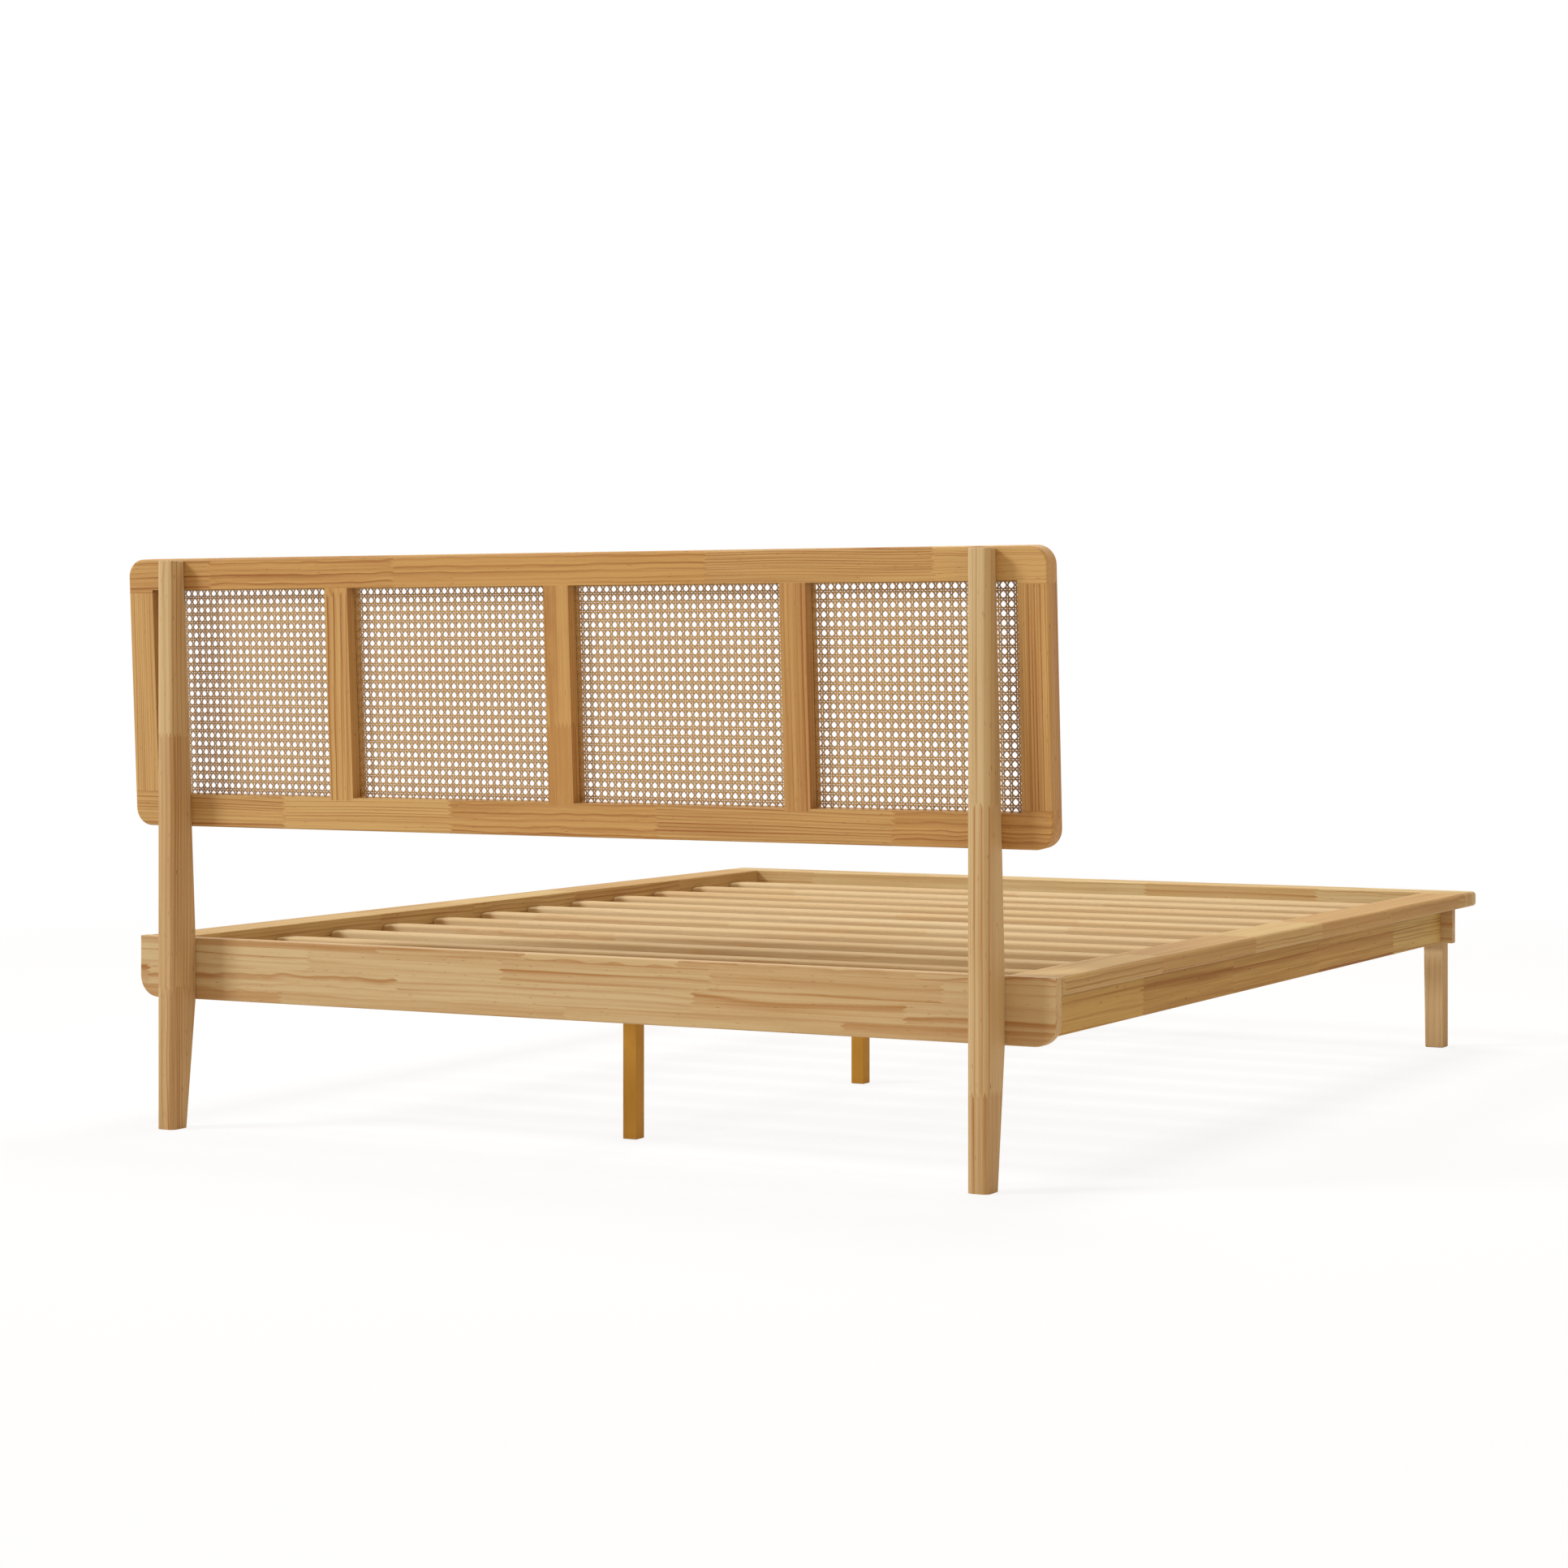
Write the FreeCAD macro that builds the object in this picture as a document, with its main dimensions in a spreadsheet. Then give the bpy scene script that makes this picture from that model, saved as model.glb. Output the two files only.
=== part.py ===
import FreeCAD, Part
import Sketcher
import math
import os

# A platform bed of finger-jointed pine with four woven cane panels in its headboard.
# Frame: millimetres, +Z up, the origin on the floor under the middle of the bed.
# +Y is the headboard end. Left is +X and right is -X.

V = FreeCAD.Vector
X_AXIS = V(1, 0, 0)
Y_AXIS = V(0, 1, 0)
Z_AXIS = V(0, 0, 1)

# Driving sizes, in millimetres unless a comment says otherwise.
SIZES = {
    # whole bed
    "overall_width": 1700.0,
    "overall_length": 2216.0,
    "board_top_height": 318.5,
    "rail_height": 104.0,
    "joint_clearance": 0.3,
    "cut_overrun": 5.0,
    # headboard frame, leaning back by an angle in degrees
    "lean_angle": 3.0,
    "headboard_over_post": 3.4,
    "headboard_length": 452.5,
    "headboard_thickness": 36.5,
    "top_rail_width": 52.0,
    "bottom_rail_width": 54.0,
    "rail_shoulder": 5.0,
    "stile_width": 50.0,
    "muntin_width": 45.0,
    "muntin_spacing": 424.0,
    "muntin_housing": 4.0,
    "headboard_corner_radius": 30.0,
    "headboard_edge_radius": 4.0,
    "tenon_thickness": 12.0,
    "tenon_width": 25.0,
    "tenon_length": 28.0,
    # cane panels and the beads that hold them in their rebates
    "reveal_depth": 21.5,
    "rebate_width": 8.0,
    "cane_thickness": 2.0,
    "cane_bar_width": 11.0,
    # rear posts
    "post_width": 36.0,
    "post_inset": 82.5,
    "post_depth": 63.0,
    "post_foot_depth": 38.0,
    "post_height": 956.0,
    "post_back_radius": 10.5,
    "post_front_radius": 3.0,
    "post_top_radius": 2.0,
    # head rail
    "head_rail_thickness": 22.0,
    "head_rail_corner_radius": 36.0,
    "head_rail_edge_radius": 2.5,
    # side boards and side aprons
    "side_board_width": 85.0,
    "top_board_thickness": 29.0,
    "top_board_outer_radius": 7.0,
    "top_board_inner_radius": 2.0,
    "apron_thickness": 24.0,
    "apron_edge_radius": 2.0,
    # foot board, foot apron and foot legs
    "foot_board_width": 83.0,
    "foot_board_corner_radius": 15.0,
    "foot_apron_thickness": 19.0,
    "foot_apron_overhang": 25.0,
    "foot_leg_width": 42.5,
    "foot_leg_foot_width": 38.5,
    "foot_leg_depth": 33.0,
    "foot_leg_edge_radius": 3.0,
    # slats, ledges and pegs
    "slat_width": 50.0,
    "slat_thickness": 18.0,
    "slat_drop": 20.0,
    "slat_end_gap": 80.5,
    "slat_end_clearance": 1.5,
    "slat_top_radius": 6.0,
    "slat_bottom_radius": 3.0,
    "ledge_width": 30.0,
    "ledge_thickness": 30.0,
    "ledge_setback": 48.0,
    "peg_radius": 4.0,
    "peg_length": 20.0,
    "peg_depth_in_slat": 8.0,
    "peg_clearance": 0.1,
    # centre beam, its hangers and legs
    "beam_width": 26.0,
    "beam_height": 58.0,
    "hanger_plate": 2.0,
    "hanger_height": 32.0,
    "hanger_seat_length": 35.0,
    "hanger_flange_width": 20.0,
    "middle_leg_size": 26.0,
    "leg_head_distance": 193.0,
    "leg_foot_distance": 211.0,
    "middle_leg_edge_radius": 1.5,
    "stud_radius": 4.0,
    "stud_length": 60.0,
    # corner brackets
    "bracket_leg": 42.0,
    "bracket_width": 38.0,
    "bracket_plate": 3.0,
    # bolts, the sleeves they screw into, and wood screws
    "large_bolt_radius": 4.0,
    "large_head_radius": 7.5,
    "large_sleeve_radius": 6.0,
    "small_bolt_radius": 3.0,
    "small_head_radius": 5.0,
    "small_sleeve_radius": 4.5,
    "bolt_head_height": 4.0,
    "bolt_seat_depth": 6.5,
    "bolt_hole_clearance": 0.4,
    "sleeve_length": 14.0,
    "rail_bolt_length": 46.0,
    "headboard_bolt_length": 45.0,
    "leg_bolt_length": 38.0,
    "rail_bolt_spacing": 60.0,
    "leg_bolt_spacing": 54.0,
    "leg_bolt_inset": 12.5,
    "screw_radius": 1.8,
    "screw_length": 14.0,
    "screw_head_radius": 4.0,
    "screw_head_height": 2.0,
}

# Counts and shares. A share is a part of the size that it is named with.
SLAT_COUNT = 12
MUNTIN_COUNT = 3
MIDDLE_LEG_COUNT = 3
CANE_OPENINGS_ACROSS = 12
CANE_OPENINGS_UP = 11
EDGE_LIMIT_SHARE = 0.45
CORNER_LIMIT_SHARE = 0.8
BRACKET_SCREW_SHARES = (0.3, 0.7)
BRACKET_REACH_SHARE = 0.6
NEAR = 1e-4


def trimmed(number):
    """The number as plain text, without a float's last stray digits."""
    return format(number, ".10g")


class Size:
    """A length that knows its value and the formula that ties it to the sheet."""

    def __init__(self, value, formula):
        self.value = value
        self.formula = formula

    def __add__(self, other):
        other = as_size(other)
        return Size(self.value + other.value, "(" + self.formula + " + " + other.formula + ")")

    def __sub__(self, other):
        other = as_size(other)
        return Size(self.value - other.value, "(" + self.formula + " - " + other.formula + ")")

    def __mul__(self, factor):
        return Size(self.value * factor, "(" + self.formula + " * " + trimmed(factor) + ")")

    def __truediv__(self, divisor):
        return Size(self.value / divisor, "(" + self.formula + " / " + trimmed(divisor) + ")")

    def __neg__(self):
        return Size(-self.value, "(0 - " + self.formula + ")")


def as_size(number):
    return number if isinstance(number, Size) else Size(float(number), trimmed(number))


def least(one, other):
    return Size(min(one.value, other.value), "min(" + one.formula + "; " + other.formula + ")")


def times(function, length, angle):
    """A length times the sin, cos or tan, named by its three letters, of an angle in degrees."""
    share = getattr(math, function)(math.radians(angle.value))
    return Size(length.value * share, "(" + length.formula + " * " + function + "(" + angle.formula + "))")


ZERO = Size(0.0, "0")

doc = FreeCAD.newDocument("platform_bed")
sheet = doc.addObject("Spreadsheet::Sheet", "sizes")
for row, (alias, number) in enumerate(SIZES.items(), 1):
    sheet.set("A" + str(row), alias)
    sheet.set("B" + str(row), trimmed(number))
    sheet.setAlias("B" + str(row), alias)
doc.recompute()


def size(alias):
    return Size(SIZES[alias], "sizes." + alias)


def bind(item, prop, length):
    """Sets a property to a size and ties it to the sheet."""
    item.setExpression(prop, length.formula)


def place(item, x=ZERO, y=ZERO, z=ZERO, axis=Z_AXIS, angle=ZERO):
    """Puts an item at a point, turned about an axis by an angle in degrees."""
    item.Placement = FreeCAD.Placement(V(x.value, y.value, z.value), FreeCAD.Rotation(axis, angle.value))
    for prop, length in (("x", x), ("y", y), ("z", z)):
        if length.formula != ZERO.formula:
            bind(item, "Placement.Base." + prop, length)
    if angle.formula != ZERO.formula:
        bind(item, "Placement.Rotation.Angle", angle)


# Sketches and pads

def start_body(label):
    body = doc.addObject("PartDesign::Body", label)
    body.Label = label
    return body


def origin_plane(body, role):
    return next(item for item in body.Origin.OriginFeatures if item.Role == role)


def start_sketch(body, role, name, start):
    """A sketch on an origin plane of its body, moved along the plane's normal."""
    sketch = body.newObject("Sketcher::SketchObject", name)
    sketch.AttachmentSupport = [(origin_plane(body, role), "")]
    sketch.MapMode = "FlatFace"
    if start.formula != ZERO.formula:
        bind(sketch, "AttachmentOffset.Base.z", start)
    return sketch


def hold(sketch, corner, kind, axis, length):
    """Holds a corner at a distance from the sketch's origin, or on its axis where that is zero."""
    if length.formula == ZERO.formula:
        sketch.addConstraint(Sketcher.Constraint("PointOnObject", corner, 1, axis))
        return
    index = sketch.addConstraint(Sketcher.Constraint(kind, -1, 1, corner, 1, length.value))
    sketch.setExpression("Constraints[" + str(index) + "]", length.formula)


def add_outline(sketch, points):
    """Draws a closed outline of straight lines, each corner held by its two distances."""
    first = sketch.GeometryCount
    count = len(points)
    corners = [V(across.value, along.value, 0) for across, along in points]
    for index in range(count):
        sketch.addGeometry(Part.LineSegment(corners[index], corners[(index + 1) % count]), False)
    for index in range(count):
        after = (index + 1) % count
        sketch.addConstraint(Sketcher.Constraint("Coincident", first + index, 2, first + after, 1))
    for index, (across, along) in enumerate(points):
        hold(sketch, first + index, "DistanceX", -2, across)
        hold(sketch, first + index, "DistanceY", -1, along)


def rectangle(x_low, x_high, y_low, y_high):
    return [(x_low, y_low), (x_high, y_low), (x_high, y_high), (x_low, y_high)]


def add_pad(body, role, outlines, length, name, start=ZERO):
    """Pads closed outlines of an origin plane along its normal, from a distance along it."""
    sketch = start_sketch(body, role, name + "_sketch", start)
    for points in outlines:
        add_outline(sketch, points)
    doc.recompute()
    pad = body.newObject("PartDesign::Pad", name)
    pad.Profile = sketch
    bind(pad, "Length", length)
    doc.recompute()
    return pad


def add_pocket(body, role, outlines, depth, name, start):
    """Cuts closed outlines along an origin plane's normal, from a distance along it."""
    sketch = start_sketch(body, role, name + "_sketch", start)
    for points in outlines:
        add_outline(sketch, points)
    doc.recompute()
    volume = body.Shape.Volume
    pocket = body.newObject("PartDesign::Pocket", name)
    pocket.Profile = sketch
    pocket.Reversed = True
    bind(pocket, "Length", depth)
    doc.recompute()
    if body.Shape.Volume >= volume:
        raise RuntimeError(name + " cuts nothing")
    return pocket


def level(edge, axis, height):
    """True for an edge whose ends both lie at a height along an axis, 0 for X to 2 for Z."""
    return all(abs(corner.Point[axis] - height.value) < NEAR for corner in edge.Vertexes)


def edges_where(shape, test):
    return ["Edge" + str(index) for index, edge in enumerate(shape.Edges, 1) if test(edge)]


def round_edges(body, radius, test, name):
    """Rounds the edges that pass a test, in the body's own frame, before it has a place."""
    base = body.Tip
    fillet = body.newObject("PartDesign::Fillet", name)
    fillet.Base = (base, edges_where(base.Shape, test))
    fillet.Radius = radius.value
    bind(fillet, "Radius", radius)
    doc.recompute()
    return fillet


def board(label, across, deep, high):
    """A board with its low corner at its own origin: width along X, Y and Z."""
    body = start_body(label)
    add_pad(body, "XY_Plane", [rectangle(ZERO, across, ZERO, deep)], high, label + "_pad")
    return body


# Round parts and holes

def rod(name, radius, length, start=ZERO):
    """A plain cylinder on the Z axis, from a height."""
    item = doc.addObject("Part::Cylinder", name)
    bind(item, "Radius", radius)
    bind(item, "Height", length)
    place(item, ZERO, ZERO, start)
    return item


def stack(name, pieces, spot):
    """Cylinders on one axis, each a radius, a length and a start, moved together to a spot."""
    rods = []
    for index, (radius, length, start) in enumerate(pieces):
        rods.append(rod(name + "_" + str(index), radius, length, start))
    item = fused(name, rods) if len(rods) > 1 else group(name, rods)
    place(item, *spot)
    return item


def peg(name, radius, length, spot):
    item = rod(name, radius, length)
    place(item, *spot)
    return item


def fused(name, items):
    item = doc.addObject("Part::MultiFuse", name)
    item.Shapes = items
    return item


def group(name, items):
    item = doc.addObject("Part::Compound", name)
    item.Links = items
    return item


def drilled(name, blank, holes):
    """A piece with its holes cut out of it, all in one cut."""
    blank.Label = name + "_blank"
    item = doc.addObject("Part::Cut", name + "_cut")
    item.Base = blank
    item.Tool = group(name + "_holes", holes)
    item.Label = name
    doc.recompute()
    if item.Shape.Volume >= blank.Shape.Volume:
        raise RuntimeError(name + " has no holes")
    return item


pieces = {}
holes_in = {}


def cut_from(label, item):
    """Notes a hole that a piece gets once all the pieces are made."""
    holes_in.setdefault(label, []).append(item)


# Places that several pieces share

half_width = size("overall_width") / 2
half_length = size("overall_length") / 2
head_plane = half_length - size("post_depth")
head_rail_front = head_plane - size("head_rail_thickness")
board_top = size("board_top_height")
board_bottom = board_top - size("top_board_thickness")
rail_height = size("rail_height")
rail_bottom = board_top - rail_height
apron_height = board_bottom - rail_bottom
recess_half = half_width - size("side_board_width")
foot_edge = -half_length
foot_inner = foot_edge + size("foot_board_width")
foot_apron_outer = foot_edge + size("foot_leg_depth")
foot_apron_inner = foot_apron_outer + size("foot_apron_thickness")
apron_outer = recess_half + size("apron_thickness")
slat_top = board_top - size("slat_drop")
slat_bottom = slat_top - size("slat_thickness")
overrun = size("cut_overrun")
clearance = size("joint_clearance")
lean = size("lean_angle")
quarter_turn = Size(90.0, "90")
SIDES = (("left", 1), ("right", -1))


def mirrored(sign, low, high):
    """The low and high X of a piece whose left-hand copy runs from low to high."""
    return (low, high) if sign > 0 else (-high, -low)


def runs_along(edge, axis):
    ends = edge.Vertexes
    return abs(ends[0].Point[axis] - ends[1].Point[axis]) > NEAR


def middle_of(edge):
    return edge.valueAt((edge.FirstParameter + edge.LastParameter) / 2)


# Headboard frame. Its own frame has X across, Z up the slope and Y at the back face.

slope = size("headboard_length")
thickness = size("headboard_thickness")
top_inner = slope - size("top_rail_width")
bottom_inner = size("bottom_rail_width")
stile_bottom = bottom_inner + size("rail_shoulder")
stile_top = top_inner - size("rail_shoulder")
stile_inner = half_width - size("stile_width")
half_muntin = size("muntin_width") / 2
housing_floor = bottom_inner - size("muntin_housing")
rebate = size("rebate_width")
cane_back = size("reveal_depth")
bead_back = cane_back + size("cane_thickness")
tenon_back = (thickness - size("tenon_thickness")) / 2
half_tenon = size("tenon_width") / 2
tenon_reach = size("tenon_length")
headboard_low = size("post_height") + size("headboard_over_post") - times("cos", slope, lean)
headboard_y = head_plane + times("tan", headboard_low - board_top, lean)
muntin_centres = [size("muntin_spacing") * (1 - index) for index in range(MUNTIN_COUNT)]
stile_centre = stile_inner + size("stile_width") / 2
upright_centres = [stile_centre] + muntin_centres + [-stile_centre]


def place_on_slope(item):
    place(item, ZERO, headboard_y, headboard_low, X_AXIS, -lean)


def opening_sides():
    """The X limits of the openings, from the left."""
    edges = [stile_inner]
    for centre in muntin_centres:
        edges += [centre + half_muntin, centre - half_muntin]
    edges.append(-stile_inner)
    return [(edges[index + 1], edges[index]) for index in range(0, len(edges), 2)]


openings = opening_sides()
rebate_outlines = [
    rectangle(low - rebate, high + rebate, bottom_inner - rebate, top_inner + rebate)
    for low, high in openings
]


def tenon_outline(centre, low, high):
    return rectangle(centre - half_tenon, centre + half_tenon, low, high)


def headboard_rail(label, points, corner_height, inner_heights, mortises):
    """A headboard rail with rounded outer corners, rebates and a mortise for each upright."""
    body = start_body(label)
    add_pad(body, "XZ_Plane", [points], thickness, label + "_pad")

    def outer_corner(edge):
        at_end = abs(abs(edge.Vertexes[0].Point.x) - half_width.value) < NEAR
        return runs_along(edge, 1) and level(edge, 2, corner_height) and at_end

    corner = least(size("headboard_corner_radius"), size("top_rail_width") * CORNER_LIMIT_SHARE)
    round_edges(body, corner, outer_corner, label + "_corners")

    def outer_edge(edge):
        on_face = level(edge, 1, ZERO) or level(edge, 1, -thickness)
        inner = any(level(edge, 2, height) for height in inner_heights)
        step = abs(middle_of(edge).x) < stile_inner.value + NEAR and not level(edge, 2, corner_height)
        return on_face and not inner and not step

    edge_radius = least(size("headboard_edge_radius"), thickness * EDGE_LIMIT_SHARE)
    round_edges(body, edge_radius, outer_edge, label + "_edges")
    add_pocket(body, "XZ_Plane", rebate_outlines, thickness - cane_back + overrun, label + "_rebates", cane_back)
    add_pocket(body, "XZ_Plane", mortises, size("tenon_thickness"), label + "_mortises", tenon_back)
    place_on_slope(body)
    pieces[label] = body


top_points = [
    (-half_width, stile_top), (-stile_inner, stile_top), (-stile_inner, top_inner),
    (stile_inner, top_inner), (stile_inner, stile_top), (half_width, stile_top),
    (half_width, slope), (-half_width, slope),
]
bottom_points = [
    (-half_width, ZERO), (half_width, ZERO), (half_width, stile_bottom),
    (stile_inner, stile_bottom), (stile_inner, bottom_inner),
]
for centre in muntin_centres:
    bottom_points += [
        (centre + half_muntin, bottom_inner), (centre + half_muntin, housing_floor),
        (centre - half_muntin, housing_floor), (centre - half_muntin, bottom_inner),
    ]
bottom_points += [(-stile_inner, bottom_inner), (-stile_inner, stile_bottom), (-half_width, stile_bottom)]

top_mortises = []
bottom_mortises = []
for index, centre in enumerate(upright_centres):
    is_stile = index in (0, MUNTIN_COUNT + 1)
    seat = stile_top if is_stile else top_inner
    top_mortises.append(tenon_outline(centre, seat, seat + tenon_reach))
    seat = stile_bottom if is_stile else housing_floor
    bottom_mortises.append(tenon_outline(centre, seat - tenon_reach, seat))

headboard_rail("headboard_top_rail", top_points, slope, (top_inner, stile_top), top_mortises)
headboard_rail("headboard_bottom_rail", bottom_points, ZERO, (bottom_inner, stile_bottom, housing_floor),
               bottom_mortises)


def upright(label, low, high, bottom, top, rebated_sides, outer):
    """A stile or a muntin: a bar with a tenon at each end and rebates beside its openings."""
    body = start_body(label)
    add_pad(body, "XZ_Plane", [rectangle(low, high, bottom, top)], thickness, label + "_pad")
    if outer is not None:
        radius = least(size("headboard_edge_radius"), thickness * EDGE_LIMIT_SHARE)
        round_edges(body, radius, lambda edge: level(edge, 0, outer) and runs_along(edge, 2), label + "_edges")
    rebates = [
        rectangle(side - rebate, side + rebate, bottom - overrun, top + overrun) for side in rebated_sides
    ]
    add_pocket(body, "XZ_Plane", rebates, thickness - cane_back + overrun, label + "_rebates", cane_back)
    tenon = tenon_outline((low + high) / 2, bottom - tenon_reach, top + tenon_reach)
    add_pad(body, "XZ_Plane", [tenon], size("tenon_thickness"), label + "_tenon", tenon_back)
    place_on_slope(body)
    pieces[label] = body


for side, sign in SIDES:
    low, high = mirrored(sign, stile_inner, half_width)
    inner = low if sign > 0 else high
    outer = high if sign > 0 else low
    upright("headboard_" + side + "_stile", low, high, stile_bottom, stile_top, [inner], outer)
for number, centre in enumerate(muntin_centres, 1):
    low = centre - half_muntin
    high = centre + half_muntin
    upright("headboard_muntin_" + str(number), low, high, housing_floor, top_inner, [low, high], None)

# Like pieces that share one file are gathered here under its name.

groups = {}


def add_to(label, item):
    groups.setdefault(label, []).append(item)


# A cane panel lies against each rebate, and four bead strips in front of it hold it there.


def on_slope(label, outline, deep, start):
    """A flat bar of the headboard, from its outline, its thickness and its depth."""
    body = start_body(label)
    add_pad(body, "XZ_Plane", [outline], deep, label + "_pad", start)
    place_on_slope(body)
    return body


def grid_bars(low, high, edge, count):
    """The limits of the bars beside and between equal openings, the outer ones reaching past by an edge."""
    bar = size("cane_bar_width")
    step = (high - low - bar) / count
    bars = [(low + step * index, low + step * index + bar) for index in range(1, count)]
    return [(low - edge, low + bar)] + bars + [(high - bar, high + edge)]


def cane_bar(name, low, high, bottom, top):
    """A flat bar of a cane panel, from its limits across and up the slope."""
    item = doc.addObject("Part::Box", name)
    for prop, length in (("Length", high - low), ("Width", size("cane_thickness")), ("Height", top - bottom)):
        bind(item, prop, length)
    place(item, low, -bead_back, bottom)
    return item


def cane_panel(label, low, high, edge):
    """A plain grid of crossing bars in place of the fine weave, one solid from edge to edge."""
    bars = []
    for index, (left, right) in enumerate(grid_bars(low, high, edge, CANE_OPENINGS_ACROSS)):
        name = label + "_upright_" + str(index)
        bars.append(cane_bar(name, left, right, bottom_inner - edge, top_inner + edge))
    for index, (bottom, top) in enumerate(grid_bars(bottom_inner, top_inner, edge, CANE_OPENINGS_UP)):
        name = label + "_cross_" + str(index)
        bars.append(cane_bar(name, low - edge, high + edge, bottom, top))
    panel = fused(label, bars)
    panel.Refine = True
    place_on_slope(panel)
    return panel


bead_edge = rebate - clearance
bead_depth = thickness - bead_back
for number, (low, high) in enumerate(openings, 1):
    label = "cane_panel_" + str(number)
    pieces[label] = cane_panel(label, low, high, bead_edge)
    outer_low = low - bead_edge
    outer_high = high + bead_edge
    strips = (
        ("upper_cane_beads", rectangle(outer_low, outer_high, top_inner, top_inner + bead_edge)),
        ("lower_cane_beads", rectangle(outer_low, outer_high, bottom_inner - bead_edge, bottom_inner)),
        ("upright_cane_beads", rectangle(outer_low, low, bottom_inner, top_inner)),
        ("upright_cane_beads", rectangle(high, outer_high, bottom_inner, top_inner)),
    )
    for index, (label, outline) in enumerate(strips):
        name = label + "_" + str(number) + "_" + str(index)
        add_to(label, on_slope(name, outline, bead_depth, bead_back))

# A bolt's head bears on a seat in one piece and its tip screws into a sleeve in the next.
# Each lies along its own Z axis, with the head's bearing face at zero.

sleeve_length = size("sleeve_length")


def bolt(name, kind, length, seat_depth, passed, spot, hosts, sets):
    """A bolt with its sleeve, and their holes in the piece passed and the piece reached."""
    radius = size(kind + "_bolt_radius")
    head_radius = size(kind + "_head_radius")
    sleeve_radius = size(kind + "_sleeve_radius")
    hole_radius = radius + size("bolt_hole_clearance")
    head = size("bolt_head_height")
    sleeve_start = length - sleeve_length
    add_to(sets[0], stack(name, [(head_radius, head, -head), (radius, length, ZERO)], spot))
    outer = rod(name + "_sleeve_outer", sleeve_radius, sleeve_length, sleeve_start)
    bore = rod(name + "_sleeve_bore", radius, sleeve_length + overrun * 2, sleeve_start - overrun)
    sleeve = doc.addObject("Part::Cut", name + "_sleeve")
    sleeve.Base = outer
    sleeve.Tool = bore
    place(sleeve, *spot)
    add_to(sets[1], sleeve)
    through = (hole_radius, passed + overrun * 2, -overrun)
    seat = (head_radius + size("bolt_hole_clearance"), seat_depth + overrun, -seat_depth - overrun)
    cut_from(hosts[0], stack(name + "_first_hole", [seat, through] if seat_depth.value > 0 else [through], spot))
    approach = (hole_radius, sleeve_start - passed + overrun, passed - overrun)
    socket = (sleeve_radius, sleeve_length + clearance, sleeve_start)
    cut_from(hosts[1], stack(name + "_second_hole", [approach, socket], spot))


# Rear posts: straight at the back, deepest beside the head rail, drawn in to the foot and the top.

post_outer = half_width - size("post_inset")
post_inner = post_outer - size("post_width")
post_centre = post_outer - size("post_width") / 2
post_back = size("post_depth")
post_top = size("post_height")
post_points = [
    (post_back - size("post_foot_depth"), ZERO), (post_back, ZERO), (post_back, post_top),
    (times("tan", post_top - board_top, lean), post_top), (ZERO, board_top), (ZERO, rail_bottom),
]
for side, sign in SIDES:
    label = side + "_post"
    body = start_body(label)
    add_pad(body, "YZ_Plane", [post_points], size("post_width"), label + "_pad")

    def back_edge(edge):
        return level(edge, 1, post_back) and runs_along(edge, 2)

    def front_edge(edge):
        on_side = level(edge, 0, ZERO) or level(edge, 0, size("post_width"))
        ahead = middle_of(edge).y < post_back.value - size("post_back_radius").value - NEAR
        return on_side and ahead and runs_along(edge, 2)

    back_radius = least(size("post_back_radius"), size("post_width") * EDGE_LIMIT_SHARE)
    round_edges(body, back_radius, back_edge, label + "_back")
    round_edges(body, size("post_front_radius"), front_edge, label + "_front")
    round_edges(body, size("post_top_radius"), lambda edge: level(edge, 2, post_top), label + "_top")
    low, high = mirrored(sign, post_inner, post_outer)
    place(body, low, head_plane, ZERO)
    pieces[label] = body

# Head rail, in front of the posts.

head_rail = start_body("head_rail")
add_pad(head_rail, "XZ_Plane", [rectangle(-half_width, half_width, ZERO, rail_height)],
        size("head_rail_thickness"), "head_rail_pad")
rail_corner = least(size("head_rail_corner_radius"), rail_height * CORNER_LIMIT_SHARE)
round_edges(head_rail, rail_corner, lambda edge: runs_along(edge, 1) and level(edge, 2, ZERO), "head_rail_corners")
round_edges(head_rail, size("head_rail_edge_radius"),
            lambda edge: level(edge, 1, ZERO) or level(edge, 1, -size("head_rail_thickness")), "head_rail_edges")
place(head_rail, ZERO, head_plane, rail_bottom)
pieces["head_rail"] = head_rail


def slope_point(height, forward):
    """The Y and Z of a point of the headboard, from its height up the slope and its depth."""
    y = headboard_y + times("sin", height, lean) - times("cos", forward, lean)
    z = headboard_low + times("cos", height, lean) + times("sin", forward, lean)
    return y, z


seat_depth = size("bolt_seat_depth")
rail_passed = size("head_rail_thickness") - seat_depth
headboard_passed = thickness - seat_depth
rail_middle = (board_top + rail_bottom) / 2
headboard_bolt_rows = (
    ("headboard_bottom_rail", size("bottom_rail_width") / 2),
    ("headboard_top_rail", slope - size("top_rail_width") / 2),
)
for side, sign in SIDES:
    x = post_centre * sign
    for number, step in enumerate((-1, 1), 1):
        z = rail_middle + size("rail_bolt_spacing") * step / 2
        spot = (x, head_plane - rail_passed, z, X_AXIS, -quarter_turn)
        bolt(side + "_rail_bolt_" + str(number), "large", size("rail_bolt_length"), seat_depth, rail_passed,
             spot, ("head_rail", side + "_post"), ("head_rail_bolts", "head_rail_sleeves"))
    for rail_label, height in headboard_bolt_rows:
        y, z = slope_point(height, headboard_passed)
        spot = (x, y, z, X_AXIS, -quarter_turn - lean)
        bolt(side + "_" + rail_label + "_bolt", "small", size("headboard_bolt_length"), seat_depth,
             headboard_passed, spot, (rail_label, side + "_post"), ("headboard_bolts", "headboard_sleeves"))

# Side boards and side aprons, glued to each other.

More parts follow.
